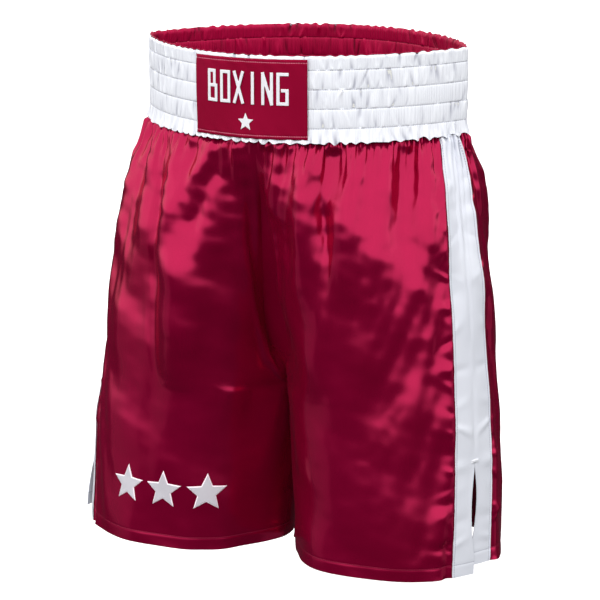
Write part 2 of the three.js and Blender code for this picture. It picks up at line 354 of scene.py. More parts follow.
def number_vertices():
    """One vertex number for every grid point, shared where the cloth is sewn."""
    numbers = {}
    count = 0
    for side in SIDES:
        for part in PARTS:
            columns = len(column_shares(part))
            numbers[side, part] = np.arange(count, count + ROWS * columns).reshape(ROWS, columns)
            count += ROWS * columns
    for side in SIDES:
        numbers[side, "back"][: SLIT_ROW + 1, 0] = numbers[side, "front"][: SLIT_ROW + 1, 0]
        numbers[side, "back"][CROTCH_ROW:, -1] = numbers[side, "front"][CROTCH_ROW:, -1]
    for part in PARTS:
        numbers["right", part][: CROTCH_ROW + 1, -1] = numbers["left", part][: CROTCH_ROW + 1, -1]
    for side in SIDES:
        for part in PARTS:
            numbers[side, part][CROTCH_ROW, -1] = numbers["left", "front"][CROTCH_ROW, -1]
    used = np.unique(np.concatenate([grid.ravel() for grid in numbers.values()]))
    return {key: np.searchsorted(used, grid) for key, grid in numbers.items()}, len(used)


numbers, vertex_count = number_vertices()
sewn_faces = np.concatenate([grid_faces(grid, faces_inward(*key)) for key, grid in numbers.items()])

WAIST_FULLNESS = 0.25  # extra cloth that the waistband gathers
HEM_FULLNESS = 0.04
FULLNESS_FADES_BY = 0.8
HOLD_SHAPE = 0.1  # how firmly the skirt keeps its place while it is draped
HOLD_STRIPE = 0.6
HOLD_SLIT = 0.85
FORM_INSET = 9 * MM
COLLISION_GAP = 2 * MM
DRAPE_FRAMES = 40
SATIN_CLOTH = {
    "quality": 6,
    "mass": 0.15,
    "air_damping": 2.0,
    "tension_stiffness": 20,
    "compression_stiffness": 20,
    "shear_stiffness": 6,
    "bending_stiffness": 0.6,
    "tension_damping": 10,
    "compression_damping": 10,
    "shear_damping": 10,
    "bending_damping": 1.0,
    "pin_stiffness": 1.0,
}


def new_mesh(name, points, faces):
    mesh = bpy.data.meshes.new(name)
    mesh.from_pydata(points.tolist(), [], faces)
    return mesh


def link(name, mesh):
    piece = bpy.data.objects.new(name, mesh)
    bpy.context.scene.collection.objects.link(piece)
    return piece


def shade_smooth(mesh):
    mesh.polygons.foreach_set("use_smooth", np.ones(len(mesh.polygons), dtype=bool))


def give_vectors(mesh, name, values):
    """A vector at every vertex, for the materials to read."""
    layer = mesh.attributes.new(name, "FLOAT_VECTOR", "POINT")
    layer.data.foreach_set("vector", values.astype(np.float32).ravel())


def sewn_points(pick):
    points = np.zeros((vertex_count, 3))
    for (side, part), grid in numbers.items():
        points[grid] = pick(side, part)
    return points


def cut_size(side, part):
    """The smooth body grown by the fullness of the cloth: the shape that the cloth would like to be."""
    s = share_down(part_depths(part, column_shares(part)))
    fullness = 1 + HEM_FULLNESS + WAIST_FULLNESS * (1 - smooth(s / FULLNESS_FADES_BY))
    return start_grid(side, part)[0] * np.stack([fullness, fullness, np.ones_like(s)], axis=-1)


def rows_of_vertices(start, stop, columns=None):
    """The vertices of some rows of every grid, all round or in its first columns."""
    chosen = [grid[start:stop, :columns].ravel() for grid in numbers.values()]
    return np.unique(np.concatenate(chosen)).tolist()


def drape():
    """The sewn garment, draped over a form by Blender's cloth simulation: positions by vertex number."""
    start = sewn_points(lambda side, part: start_grid(side, part)[1])
    scene = bpy.context.scene
    form_points = sewn_points(lambda side, part: start_grid(side, part, FORM_INSET)[1])
    form = link("form", new_mesh("form", form_points, sewn_faces.tolist()))
    form.modifiers.new("collision", "COLLISION")
    form.collision.thickness_outer = COLLISION_GAP
    form.collision.cloth_friction = 2.0

    garment = link("drape", new_mesh("drape", start, sewn_faces.tolist()))
    garment.shape_key_add(name="start")
    cut = garment.shape_key_add(name="cut")
    cut.data.foreach_set("co", sewn_points(cut_size).ravel())
    cut.value = 0.0
    held = garment.vertex_groups.new(name="held")
    held.add(list(range(vertex_count)), HOLD_SHAPE, "REPLACE")
    held.add(rows_of_vertices(0, TUCK_ROWS + 1), 1.0, "REPLACE")
    held.add(rows_of_vertices(TUCK_ROWS + 1, ROWS, STRIPE_COLUMNS + 1), HOLD_STRIPE, "REPLACE")
    held.add(rows_of_vertices(SLIT_ROW, ROWS, STRIPE_COLUMNS + 1), HOLD_SLIT, "REPLACE")

    modifier = garment.modifiers.new("cloth", "CLOTH")
    for setting, value in SATIN_CLOTH.items():
        setattr(modifier.settings, setting, value)
    modifier.settings.vertex_group_mass = "held"
    modifier.settings.rest_shape_key = cut
    modifier.collision_settings.distance_min = COLLISION_GAP
    modifier.point_cache.frame_end = DRAPE_FRAMES
    for step in range(1, DRAPE_FRAMES + 1):
        scene.frame_set(step)
    settled = garment.evaluated_get(bpy.context.evaluated_depsgraph_get())
    positions = np.empty(vertex_count * 3)
    settled.data.vertices.foreach_get("co", positions)
    scene.frame_set(1)
    for mesh in (garment.data, form.data):
        bpy.data.meshes.remove(mesh)
    return positions.reshape(-1, 3)


SLIT_OPENS = 10 * MM
SLIT_CLOSES_BY = 0.72
SLIT_LAP = 2.5 * MM
BACK_STANDS_OUT = {"left": -3 * MM, "right": 8 * MM}  # the back half of each slit, at the hem


def lap_slits(points):
    """Below its bartack each slit bows open, and at the hem one half laps over the other."""
    points = points.copy()
    rows = slice(SLIT_ROW + 1, ROWS)
    down = np.linspace(0, 1, ROWS - SLIT_ROW)[1:]
    bow = np.sin(np.pi * clamp01(down / SLIT_CLOSES_BY))
    wanted = SLIT_OPENS * bow - SLIT_LAP * smooth((down - 0.6) / 0.2)
    for side in SIDES:
        front, back = numbers[side, "front"][rows], numbers[side, "back"][rows]
        gap = points[front[:, 0]] - points[back[:, 0]]
        gap[:, 2] = 0
        length = np.linalg.norm(gap, axis=-1, keepdims=True)
        shift = gap * (1 - wanted[:, None] / length) / 2
        outward = np.array([SIDES[side] * BACK_STANDS_OUT[side], 0, 0]) * smooth(down / 0.8)[:, None]
        for column in range(STRIPE_COLUMNS):
            fade = 1 - column / STRIPE_COLUMNS
            points[front[:, column]] -= shift * fade
            points[back[:, column]] += (shift + outward) * fade
    return points


draped = lap_slits(drape())

# ---------------------------------------------------------------- fine cloth

FINE = 4  # how many times finer the grid becomes


def refine_matrix(count):
    """Catmull-Rom weights that turn count samples into FINE times as many intervals."""
    fine = np.arange((count - 1) * FINE + 1) / FINE
    cell = np.minimum(fine.astype(int), count - 2)
    t = fine - cell
    weights = np.zeros((len(fine), count))
    rows = np.arange(len(fine))
    basis = {
        -1: -0.5 * t + t**2 - 0.5 * t**3,
        0: 1 - 2.5 * t**2 + 1.5 * t**3,
        1: 0.5 * t + 2 * t**2 - 1.5 * t**3,
        2: -0.5 * t**2 + 0.5 * t**3,
    }
    for offset, weight in basis.items():
        np.add.at(weights, (rows, np.clip(cell + offset, 0, count - 1)), weight)
    return weights


def refine(grid):
    """A grid of vectors or numbers, refined smoothly in both directions."""
    down, across = refine_matrix(grid.shape[0]), refine_matrix(grid.shape[1])
    return np.einsum("ri,ij...,cj->rc...", down, grid, across, optimize=True)


def soften(grid):
    """A light smoothing of a coarse grid that leaves its corners where they are."""
    grid = grid.copy()
    nearby = (grid[:-2, 1:-1] + grid[2:, 1:-1] + grid[1:-1, :-2] + grid[1:-1, 2:]) / 4
    grid[1:-1, 1:-1] = mix(grid[1:-1, 1:-1], nearby, 0.5)
    for edge in (0, -1):
        grid[1:-1, edge] = mix(grid[1:-1, edge], (grid[:-2, edge] + grid[2:, edge]) / 2, 0.5)
    return grid


def lengths_along(surface, axis):
    step = np.linalg.norm(np.diff(surface, axis=axis), axis=-1)
    start = np.zeros_like(np.take(step, [0], axis=axis))
    return np.concatenate([start, np.cumsum(step, axis=axis)], axis=axis)


def sheet_mesh(name, surface, attributes, flip=False, ring=False, thickness=CLOTH):
    """A closed cloth mesh: the surface, its copy one thickness behind, and a wall round the rim.

    attributes are vectors given at every grid point, for the materials to read."""
    if ring:
        padded = np.concatenate([surface[:, -1:], surface, surface[:, :1]], axis=1)
        normal = grid_normals(padded, flip)[:, 1:-1]
    else:
        normal = grid_normals(surface, flip)
    rows, columns = surface.shape[:2]
    count = rows * columns
    points = np.concatenate([surface.reshape(-1, 3), (surface - thickness * normal).reshape(-1, 3)])
    front = np.arange(count).reshape(rows, columns)
    if ring:
        front = np.concatenate([front, front[:, :1]], axis=1)
    back = front + count
    faces = [grid_faces(front, flip), grid_faces(back, not flip)]
    rims = [(front[0], back[0]), (back[-1], front[-1])]
    if not ring:
        rims += [(back[:, 0], front[:, 0]), (front[:, -1], back[:, -1])]
    for first, second in rims:
        wall = np.stack([first[:-1], first[1:], second[1:], second[:-1]], axis=-1)
        faces.append(wall[:, ::-1] if flip else wall)
    faces = np.concatenate(faces)
    mesh = new_mesh(name, points, faces.tolist())
    shade_smooth(mesh)
    on_rim = np.zeros((rows, columns), dtype=bool)
    on_rim[[0, -1]] = True
    if not ring:
        on_rim[:, [0, -1]] = True
    on_rim = np.tile(on_rim.ravel(), 2)
    edges = np.empty(len(mesh.edges) * 2, dtype=np.int32)
    mesh.edges.foreach_get("vertices", edges)
    edges = edges.reshape(-1, 2)
    sharp = on_rim[edges].all(axis=1) & ((edges[:, 0] < count) == (edges[:, 1] < count))
    mesh.attributes.new("sharp_edge", "BOOLEAN", "EDGE").data.foreach_set("value", sharp)
    for label, values in attributes.items():
        values = np.broadcast_to(values, (rows, columns, 3)).reshape(-1, 3)
        give_vectors(mesh, label, np.concatenate([values, values]))
    mesh.update()
    return link(name, mesh)


small_gathers = Waves(88, seed=3, spread=0.45, terms=9)
tiny_gathers = Waves(170, seed=8, spread=0.3, terms=9)
gather_lengths = Waves(17, seed=14, spread=0.6)


class Ripples:
    """Smooth random undulation of a cloth laid out flat, of about unit height."""

    def __init__(self, wavelength, seed, terms=14):
        random = np.random.default_rng(seed)
        self.directions = random.uniform(0, np.pi, terms)
        self.lengths = wavelength * random.uniform(0.6, 1.7, terms)
        self.phases = random.uniform(0, 2 * np.pi, terms)

    def __call__(self, across, down):
        total = 0.0
        for direction, length, phase in zip(self.directions, self.lengths, self.phases):
            along = np.cos(direction) * across + np.sin(direction) * down
            total = total + np.sin(2 * np.pi * along / length + phase)
        return total / math.sqrt(len(self.lengths) / 2)


ripples = Ripples(58 * MM, seed=21)
small_ripples = Ripples(24 * MM, seed=22)
BODY_RADIUS = 165 * MM  # turns a place round the body into a rough distance


class DepthWaves:
    """Irregular ridges down a seam: crisp crests some centimetres apart, with smooth cloth between them."""

    def __init__(self, pitch, seed):
        random = np.random.default_rng(seed)
        places = np.cumsum(pitch * random.uniform(0.45, 1.6, 60)) + BAND_HEIGHT
        self.places = places[places < OUTSEAM + 0.02]
        count = len(self.places)
        self.heights = random.uniform(0.25, 1.0, count) * np.sign(random.uniform(-0.5, 1, count))
        self.slants = random.uniform(-0.5, 0.75, count)
        self.reaches = random.uniform(9, 30, count) * MM
        self.widths = random.uniform(2.6, 6.0, count) * MM

    def __call__(self, depth, away):
        """Height at a depth and a distance away from the seam."""
        total = 0.0
        ridges = zip(self.places, self.heights, self.slants, self.reaches, self.widths)
        for place, height, slant, reach, width in ridges:
            from_crest = depth + slant * away - place
            total = total + height * bell(from_crest, width + 0.12 * away) * bell(away, reach)
        return total


seam_puckers, stripe_puckers = {}, {}
for i, side in enumerate(SIDES):
    stripe_puckers[side] = DepthWaves(34 * MM, seed=80 + i)
    for j, part in enumerate(PARTS):
        seam_puckers[side, part] = DepthWaves(21 * MM, seed=60 + 2 * i + j)

TUCK_BEHIND = 2.4 * MM  # how far the top of the skirt is drawn in behind the waistband's lower edge
RIDGE_HEIGHT = 2.5 * MM
PUCKER_HEIGHT = 2.2 * MM
STRIPE_PUCKER_HEIGHT = 1.5 * MM


def fine_detail(side, part, depth, shares, turn, from_edge):
    """How far each point stands out of the draped surface: gathers, ripples and seam puckers."""
    below = depth - BAND_HEIGHT
    under = np.maximum(below, 0)
    length = (22 + 9 * gather_lengths(turn)) * MM
    near_band = np.exp(-under / np.maximum(length, 10 * MM)) * mix(0.3, 1, smooth(below / (7 * MM)))
    ridges = small_gathers(turn + 0.35 * below + 0.02 * np.sin(9 * turn)) * near_band
    ridges = ridges + 0.55 * tiny_gathers(turn - 0.2 * below) * np.exp(-under / (12 * MM))
    panel = smooth(from_edge / (4 * MM))
    detail = RIDGE_HEIGHT * ridges - TUCK_BEHIND * (1 - smooth((below + 1 * MM) / (9 * MM)))
    share = share_down(depth)
    uneven = mix(1.7, 0.8, smooth((share - 0.2) / 0.5)) * ripples(BODY_RADIUS * turn, 0.6 * depth)
    uneven = uneven + mix(0.45, 0.08, smooth(share / 0.4)) * small_ripples(BODY_RADIUS * turn, depth)
    detail = detail + MM * uneven * mix(0.7, 1, panel) * smooth(below / (12 * MM))
    fade_in = smooth(below / (50 * MM))
    puckers = seam_puckers[side, part](depth, np.maximum(from_edge, 0)) * panel
    above_hem = 1 - smooth((depth - OUTSEAM + 0.04) / 0.03)
    detail = detail + PUCKER_HEIGHT * puckers * fade_in * above_hem
    on_stripe = smooth(-from_edge / (5 * MM))
    puckers = stripe_puckers[side](depth, np.abs(from_edge))
    detail = detail + STRIPE_PUCKER_HEIGHT * puckers * on_stripe * fade_in
    centre = smooth((2 - shares) / 0.06)
    seam = smooth(shares / 0.25)
    return detail * centre * seam


def hem_detail(from_hem):
    """The turned hem is two layers thick below its row of stitches."""
    row = bell(from_hem - HEM_TURN, 1.1 * MM)
    return 0.2 * MM * smooth((HEM_TURN - from_hem) / (3 * MM)) - 0.22 * MM * row


def with_column(grid):
    """A coarse grid with one more column beyond the side seam."""
    return np.concatenate([2 * grid[:, :1] - grid[:, 1:2], grid], axis=1)


def past_seam(side, part):
    """The coarse cloth with one more column, which above the slit is that of the part sewn there."""
    points = with_column(soften(draped[numbers[side, part]]))
    other = soften(draped[numbers[side, "back" if part == "front" else "front"]])
    points[: SLIT_ROW + 1, 0] = other[: SLIT_ROW + 1, 1]
    return points


class Cloth:
    """The fine surface of one part of a leg, from the side seam to the centre."""

    def __init__(self, side, part):
        shares = column_shares(part)
        coarse_depth = part_depths(part, shares)
        self.flip = faces_inward(side, part)
        angle = refine(with_column(part_angles(side, part, coarse_depth, shares[None, :])))
        depth = refine(with_column(coarse_depth))
        shares = refine(with_column(np.repeat(shares[None, :], 2, axis=0)))[:1]
        surface = refine(past_seam(side, part))
        seam, edge = (int(np.argmin(np.abs(shares[0] - place))) for place in (0, 1))
        across = lengths_along(surface, 1)
        from_edge = across - across[:, edge : edge + 1]
        from_hem = depth[-1:] - depth
        turn = turn_of(side, part, shares)
        push = fine_detail(side, part, depth, shares, turn, from_edge) + hem_detail(from_hem)
        surface = surface + push[..., None] * grid_normals(surface, self.flip)
        normal = grid_normals(surface, self.flip)
        self.edge = edge - seam
        self.across = (across - across[:, seam : seam + 1])[:, seam:]
        self.shares = shares[:, seam:]
        self.depth, self.angle, self.from_edge = depth[:, seam:], angle[:, seam:], from_edge[:, seam:]
        self.from_hem, self.surface, self.normal = from_hem[:, seam:], surface[:, seam:], normal[:, seam:]

    def sample(self, angle, depth, lift):
        """Points at given angles and depths, lifted off the cloth."""
        rows = np.interp(depth, self.depth[:, -1], np.arange(self.depth.shape[0]))
        low = np.minimum(rows.astype(int), self.depth.shape[0] - 2)
        numbered = np.arange(self.angle.shape[1])
        columns = np.array([np.interp(a, self.angle[row], numbered) for a, row in zip(angle, low)])
        left = np.minimum(columns.astype(int), self.angle.shape[1] - 2)
        down, right = (rows - low)[:, None], (columns - left)[:, None]

        def blend(grid):
            top = mix(grid[low, left], grid[low, left + 1], right)
            bottom = mix(grid[low + 1, left], grid[low + 1, left + 1], right)
            return mix(top, bottom, down)

        return blend(self.surface) + lift[:, None] * unit(blend(self.normal))


cloths = {key: Cloth(*key) for key in numbers}

# ---------------------------------------------------------------- materials


class Nodes:
    """A short way to write the node tree of a material or of the world."""

    def __init__(self, owner, shader="Principled BSDF"):
        owner.use_nodes = True
        self.owner = owner
        self.tree = owner.node_tree
        self.shader = self.tree.nodes[shader]

    def add(self, kind, settings=(), **inputs):
        node = self.tree.nodes.new(kind)
        for key, value in dict(settings).items():
            setattr(node, key, value)
        for key, value in inputs.items():
            self.put(node.inputs[key.replace("_", " ")], value)
        return node

    def put(self, socket, value):
        if isinstance(value, bpy.types.NodeSocket):
            self.tree.links.new(value, socket)
        else:
            socket.default_value = value

    def math(self, operation, a, b=0.0, c=0.0):
        node = self.tree.nodes.new("ShaderNodeMath")
        node.operation = operation
        for socket, value in zip(node.inputs, (a, b, c)):
            self.put(socket, value)
        return node.outputs[0]

    def mix_colour(self, share, a, b):
        node = self.tree.nodes.new("ShaderNodeMix")
        node.data_type = "RGBA"
        self.put(node.inputs[0], share)
        self.put(node.inputs[6], a)
        self.put(node.inputs[7], b)
        return node.outputs[2]

    def attribute(self, name):
        """The three numbers of a vector attribute of the mesh."""
        attribute = self.add("ShaderNodeAttribute", {"attribute_name": name})
        return self.add("ShaderNodeSeparateXYZ", Vector=attribute.outputs["Vector"]).outputs

    def within(self, value, middle, reach):
        """1 where value is within reach of middle."""
        distance = self.math("ABSOLUTE", self.math("SUBTRACT", value, middle))
        return self.math("LESS_THAN", distance, reach)

    def stitches(self, distance, middle, along, pitch, reach=0.45 * MM):
        """1 on the stitches of a seam that runs where distance equals middle."""
        thread = self.math("LESS_THAN", self.math("FRACT", self.math("DIVIDE", along, pitch)), 0.7)
        return self.math("MULTIPLY", self.within(distance, middle, reach), thread)

    def noise(self, scale, detail=2.0, vector=None):
        vector = vector or self.add("ShaderNodeNewGeometry").outputs["Position"]
        return self.add("ShaderNodeTexNoise", Vector=vector, Scale=scale, Detail=detail).outputs["Fac"]

    def finish(self, colour, height, strength, distance, look):
        """The material, once it has its colour, a bump of some height, and the shader's constants."""
        self.put(self.shader.inputs["Base Color"], colour)
        bump = self.add("ShaderNodeBump", Strength=strength, Distance=distance, Height=height)
        self.put(self.shader.inputs["Normal"], bump.outputs["Normal"])
        for key, value in look.items():
            self.put(self.shader.inputs[key], value)
        return self.owner


def material_nodes(name):
    return Nodes(bpy.data.materials.new(name))


STITCH_PITCH = 2.8 * MM
WEAVE_PITCH = 0.3 * MM


def satin(name, colour, shade, stitch_colour, rows, look, crease_shade_colour=None):
    """Woven satin: fine floating threads, uneven dye, rows of stitches, and painted shade where the cloth
    is creased.

    rows lists where stitches run, as (attribute, component, distance)."""
    nodes = material_nodes(name)
    across, down, _ = nodes.attribute("cloth")
    uneven = nodes.noise(7.0, 3.0)
    cells = nodes.add(
        "ShaderNodeCombineXYZ",
        X=nodes.math("DIVIDE", across, 9 * WEAVE_PITCH),
        Y=nodes.math("DIVIDE", down, WEAVE_PITCH),
    )
    weave = nodes.noise(1.0, 1.0, cells.outputs[0])
    tone = nodes.math("ADD", nodes.math("MULTIPLY", uneven, 0.9), nodes.math("MULTIPLY", weave, 0.2))
    base = nodes.mix_colour(tone, (*shade, 1), (*colour, 1))
    if crease_shade_colour:
        # Painted shade: the colour darkens in the folds, following the mesh's attribute of fold depth.
        base = nodes.mix_colour(nodes.attribute("crease_shade")[0], base, (*crease_shade_colour, 1))
    height = nodes.math("MULTIPLY", weave, 0.05)
    for attribute, component, distance in rows:
        value = nodes.attribute(attribute)[component]
        along = down if attribute == "rim" else across
        mark = nodes.stitches(value, distance, along, STITCH_PITCH)
        base = nodes.mix_colour(mark, base, (*stitch_colour, 1))
        height = nodes.math("ADD", height, mark)
    dull = nodes.math("MULTIPLY_ADD", nodes.noise(60.0, 3.0), 0.12, look["Roughness"] - 0.06)
    return nodes.finish(base, height, 0.35, 0.25 * MM, {**look, "Roughness": dull})


CRIMSON_LOOK = {
    "Metallic": 0.6,
    "Roughness": 0.2,
    "IOR": 2.1,
    "Specular Tint": (1.0, 0.25, 0.42, 1),
    "Sheen Weight": 0.02,
    "Sheen Roughness": 0.35,
    "Sheen Tint": (1.0, 0.3, 0.5, 1),
}
LINING_LOOK = {**CRIMSON_LOOK, "Metallic": 0.3, "Roughness": 0.4, "IOR": 1.5}
WHITE_LOOK = {
    "Metallic": 0.0,
    "Roughness": 0.38,
    "Specular IOR Level": 0.22,
    "Sheen Weight": 0.05,
    "Sheen Roughness": 0.4,
}
crimson = satin(
    "crimson_satin",
    (0.36, 0.0, 0.046),
    (0.27, 0.0, 0.026),
    (0.42, 0.03, 0.08),
    [("cloth", 2, HEM_TURN)],
    CRIMSON_LOOK,
)
lining_satin = satin(
    "lining_satin",
    (0.40, 0.001, 0.046),
    (0.22, 0.0, 0.02),
    (0.36, 0.03, 0.07),
    [("cloth", 2, 0.0)],
    LINING_LOOK,
    # the painted shade in its folds
    (0.07, 0.0, 0.006),
)
# The stripes' white is darker and bluer than the waistband's white: painted shade.
white = satin(
    "white_satin",
    (0.72, 0.735, 0.79),
    (0.58, 0.60, 0.67),
    (0.36, 0.37, 0.43),
    [("cloth", 2, HEM_TURN), ("rim", 0, 2.4 * MM)],
    WHITE_LOOK,
)
band_white = satin(
    "band_satin",
    (0.84, 0.855, 0.90),
    (0.78, 0.80, 0.86),
    (0.40, 0.41, 0.47),
    [("cloth", 2, 0.0)],
    WHITE_LOOK,
    # the painted shade in its folds
    (0.42, 0.43, 0.50),
)


def finish_piece(piece, material, slot, *nodes):
    piece.data.materials.append(material)
    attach(piece, "root")
    if nodes:
        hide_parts(*nodes)
    return piece


# ---------------------------------------------------------------- legs
UNDER_STRIPE = 3  # fine columns of panel that run under the stripe
STRIPE_EDGE = 0.8 * MM  # how far the turned edge of a stripe stands up

for (side, part), cloth in cloths.items():
    laid_out = vectors(cloth.across, cloth.depth, cloth.from_hem)
    panel_from = cloth.edge - UNDER_STRIPE
    surface = cloth.surface.copy()
    surface[:, panel_from : cloth.edge] -= 0.3 * MM * cloth.normal[:, panel_from : cloth.edge]
    marks = {"cloth": laid_out[:, panel_from:]}
    panel = sheet_mesh(f"{part}_{side}_cloth", surface[:, panel_from:], marks, cloth.flip)
    finish_piece(panel, crimson, "crimson_satin", f"{part}_{side}_panel")
    on_stripe = slice(0, cloth.edge + 1)
    from_edge = -cloth.from_edge[:, on_stripe]
    from_slit = cloth.across[:, on_stripe]
    lift = STRIPE_LIFT + STRIPE_EDGE * bell(from_edge, 1.3 * MM)
    surface = cloth.surface[:, on_stripe] + lift[..., None] * cloth.normal[:, on_stripe]
    marks = {"cloth": laid_out[:, on_stripe], "rim": vectors(from_edge, from_slit, 0.0)}
    stripe = sheet_mesh(f"{side}_stripe_{part}_cloth", surface, marks, cloth.flip)
    finish_piece(stripe, white, "white_satin", f"{side}_stripe_{part}")

# ---------------------------------------------------------------- waistband
RING_COLUMNS = 1700
# how strongly the folds of the waistband are darkened with painted shade
CREASE_SHADE_GAIN = 2.0


def even_turns(count):
    """Turns that space points evenly round the waistband, and how long it is round."""
    dense = np.linspace(0.0, 2 * np.pi, 4001)
    length = lengths_along(band_point(dense, 0.0, 0.0)[None], 1)[0]
    places = np.linspace(0, length[-1], count, endpoint=False)
    return np.interp(places, length, dense), length[-1]


ring_turns, WAIST_ROUND = even_turns(RING_COLUMNS)
arc = np.linspace(0, 2 * np.pi, RING_COLUMNS, endpoint=False)[None, :]


class Pleats:
    """The gathers between two rows of stitches: slanted folds, and fine upright pleats."""

    FOLD_PITCH = 6 * MM
    PLEAT_PITCH = 3.2 * MM

    def __init__(self, seed):
        random = np.random.default_rng(seed)
        count = int(WAIST_ROUND / self.FOLD_PITCH)
        self.places = (np.arange(count) + random.uniform(-0.45, 0.45, count)) * WAIST_ROUND / count
        self.slants = random.normal(0.0, 5.0, count) * MM
        self.widths = random.uniform(1.1, 2.4, count) * MM
        self.heights = random.uniform(0.15, 1.0, count)
        self.heights *= np.where(random.uniform(0, 1, count) < 0.62, 1.0, -0.8)
        self.from_top = random.uniform(0, 1, count) < 0.4
        self.reaches = random.uniform(0.45, 1.3, count)
        self.pleat_count = int(WAIST_ROUND / self.PLEAT_PITCH)
        self.wander = Waves(23, seed + 1, spread=0.7)
        self.folded = Waves(5, seed + 2, spread=0.6)

    def __call__(self, arc, share):
        """Heights of the folds and of the pleats round the band, a share of the way down it."""
        along = arc / (2 * np.pi) * WAIST_ROUND
        folds = 0.0
        each = zip(self.places, self.slants, self.widths, self.heights, self.from_top, self.reaches)
        for place, slant, width, height, from_top, reach in each:
            offset = along - place - slant * (share - 0.5)
            offset = (offset + WAIST_ROUND / 2) % WAIST_ROUND - WAIST_ROUND / 2
            start = share if from_top else 1 - share
            crest = bell(offset, width * mix(0.8, 1.3, start))
            folds = folds + height * crest * (1 - smooth(start / reach))
        pleats = np.abs(np.sin(self.pleat_count * arc / 2 + 1.5 * self.wander(arc))) ** 0.8
        boldness = clamp01(0.75 + 0.35 * self.folded(arc))
        return boldness * folds, mix(0.4, 0.25, boldness) * pleats


bands = np.concatenate([[0], STITCH_ROWS, [BAND_HEIGHT]])
band_pleats = [Pleats(200 + 10 * band) for band in range(len(bands) - 1)]
scallops = Waves(78, seed=31, spread=0.3, terms=8)


def place_in_band(depth):
    """Which band a depth lies in, and its share of the way down that band."""
    index = np.clip(np.searchsorted(bands, depth, side="right") - 1, 0, len(bands) - 2)
    return index, (depth - bands[index]) / (bands[index + 1] - bands[index])


BODY_POWER = 0.35  # how steeply the cloth rises from a row of stitches


def gathered_band(depths, pleat_height, puff_height, flare, edge_scallop):
    """How far each point stands out, how deep in a fold it lies (for the painted shade of its folds), and
    the waves of the edges.
    """
    rows, crease_shades = [], []
    for depth in depths:
        index, share = place_in_band(depth)
        free_top, free_bottom = index == 0, index == len(bands) - 2
        body = clamp01(np.sin(np.pi * share)) ** BODY_POWER
        if free_top:
            body = (1 - share) ** BODY_POWER
        if free_bottom:
            body = share**BODY_POWER
        folds, pleats = band_pleats[index](arc[0], share)
        out = pleat_height * (folds * mix(0.7, 1, body) + pleats * mix(0.3, 1, body))
        out = out + puff_height * body
        if free_bottom:
            out = out + flare * share**1.5 + 0.45 * flare * scallops(arc[0]) * share
        rows.append(np.maximum(out, 0 if free_bottom else -0.5 * MM))
        # How much painted shade each point gets from the fold it lies in.
        crease_shades.append(clamp01(CREASE_SHADE_GAIN * (0.12 - folds) - 0.5 * pleats) * mix(0.6, 1, body))
    lift = np.array(rows)
    edge = 0.4 * bell(depths, 5 * MM) + bell(depths - BAND_HEIGHT, 6 * MM)
    wave = edge_scallop * edge[:, None] * scallops(arc + 0.02)
    return lift, np.array(crease_shades), wave


def band_layer(name, depths, inset, outward, roll, **gathers):
    """A layer of the waistband, with its gathers standing outwards (1) or inwards (-1)."""
    lift, crease_shades, wave = gathered_band(depths, **gathers)
    inset = inset - outward * (lift - roll[:, None])
    surface = band_point(ring_turns[None, :], depths[:, None] + wave, inset)
    along = arc / (2 * np.pi) * WAIST_ROUND
    from_row = np.abs(depths[:, None] - STITCH_ROWS).min(axis=1)
    marks = {
        "cloth": vectors(along, depths[:, None], from_row[:, None]),
        # for the painted shade of the folds
        "crease_shade": vectors(crease_shades, 0.0, 0.0),
    }
    return sheet_mesh(name, surface, marks, flip=True, ring=True)


SHELL_INSET, LINING_INSET = 3.2 * MM, 5.6 * MM
row_shares = np.array([0, 0.03, 0.09, 0.18, 0.32, 0.5, 0.68, 0.82, 0.91, 0.97])
shell_depths = [mix(top, bottom, row_shares) for top, bottom in zip(bands[:-1], bands[1:])]
shell_depths = np.concatenate([*shell_depths, [BAND_HEIGHT]])
shell = band_layer(
    "waistband_shell_cloth",
    shell_depths,
    inset=SHELL_INSET,
    outward=1,
    roll=1.6 * MM * bell(shell_depths, 1.0 * MM),
    pleat_height=2.0 * MM,
    puff_height=0.7 * MM,
    flare=2.2 * MM,
    edge_scallop=0.9 * MM,
)
finish_piece(shell, band_white, "white_satin", "waistband_shell")

LINING_ENDS = mix(STITCH_ROWS[3], BAND_HEIGHT, 0.55)  # it covers the top edge of the skirt
lined = (shell_depths > 1 * MM) & (shell_depths < LINING_ENDS)
lining_depths = np.concatenate([[-0.6 * MM, 0.4 * MM], shell_depths[lined], [LINING_ENDS]])
lining = band_layer(
    "waistband_lining_cloth",
    lining_depths,
    inset=LINING_INSET,
    outward=-1,
    roll=2.6 * MM * bell(lining_depths + 0.6 * MM, 1.6 * MM),
    pleat_height=2.6 * MM,
    puff_height=0.8 * MM,
    flare=0.0,
    edge_scallop=1.2 * MM,
)
finish_piece(lining, lining_satin, "crimson_satin", "waistband_lining")

# ---------------------------------------------------------------- patch and embroidery
PATCH_COLUMNS, PATCH_ROWS = 150, 94
PATCH_INSET = -2.1 * MM
PATCH_SEAM = 4 * MM  # how far its stitches run from its edge


def turn_at(x):
    return np.arccos(x / WAIST_HALF_WIDTH)


patch_across = np.linspace(0, 1, PATCH_COLUMNS)[None, :]
patch_down = np.linspace(0, 1, PATCH_ROWS)[:, None]
patch_turns = turn_at(PATCH_OFFSET + PATCH_WIDTH * (0.5 - patch_across))
patch_depths = mix(PATCH_TOP, PATCH_BOTTOM, patch_down)
from_side = np.minimum(patch_across, 1 - patch_across) * PATCH_WIDTH
from_end = np.minimum(patch_down, 1 - patch_down) * (PATCH_BOTTOM - PATCH_TOP)
rounded = 1.3 * MM * bell(np.minimum(from_side, from_end), 1.2 * MM)
sewn_down = 0.5 * MM * bell(from_end - PATCH_SEAM, 1.0 * MM)
ripple = 0.35 * MM * np.sin(41 * patch_across + 5 * np.sin(6 * patch_down)) * bell(from_end, 14 * MM)
buckle = 0.7 * MM * np.sin(7 * patch_across + 1.2) * np.sin(4 * patch_down + 0.4)
patch_surface = band_point(patch_turns, patch_depths, PATCH_INSET + rounded + sewn_down - ripple - buckle)

